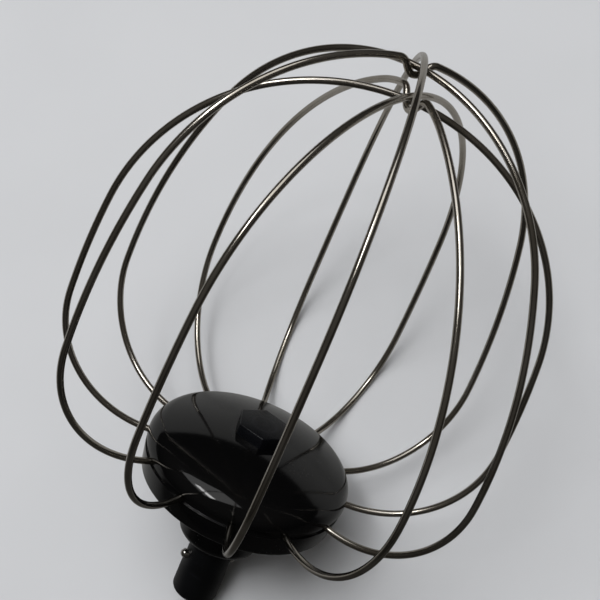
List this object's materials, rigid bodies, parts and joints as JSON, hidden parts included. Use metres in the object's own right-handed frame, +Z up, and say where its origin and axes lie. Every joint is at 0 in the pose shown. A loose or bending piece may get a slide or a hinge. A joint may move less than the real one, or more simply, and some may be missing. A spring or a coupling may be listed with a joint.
{
  "type": "stand mixer wire whisk",
  "caption": "Balloon whisk for a stand mixer: bent steel wire loops that cross at the crown, clamped in a domed hub by a hex bolt, on a round drive shaft with a locking cross pin.",
  "frame": {"origin": "middle of the bounding box on the floor that the whisk lies on", "axes": "+X runs under the whisk's axis from the shaft towards the balloon's crown, +Z is up"},
  "size_m": [0.1597, 0.132, 0.1447],
  "materials": {
    "hub_plastic": "gloss black",
    "shaft_coating": "satin black",
    "pin_steel": "bright steel",
    "bolt_coating": "satin charcoal",
    "wire_steel": "polished stainless wire"
  },
  "bodies": {
    "root": {"hub_dome": "hub_plastic", "hub_base": "hub_plastic", "drive_shaft": "shaft_coating", "cross_pin": "pin_steel", "clamp_bolt": "bolt_coating", "short_wire_middle": "wire_steel", "long_wire_under": "wire_steel", "short_wire_over": "wire_steel", "long_wire_over": "wire_steel", "short_wire_under": "wire_steel", "long_wire_middle": "wire_steel"}
  },
  "joints": []
}
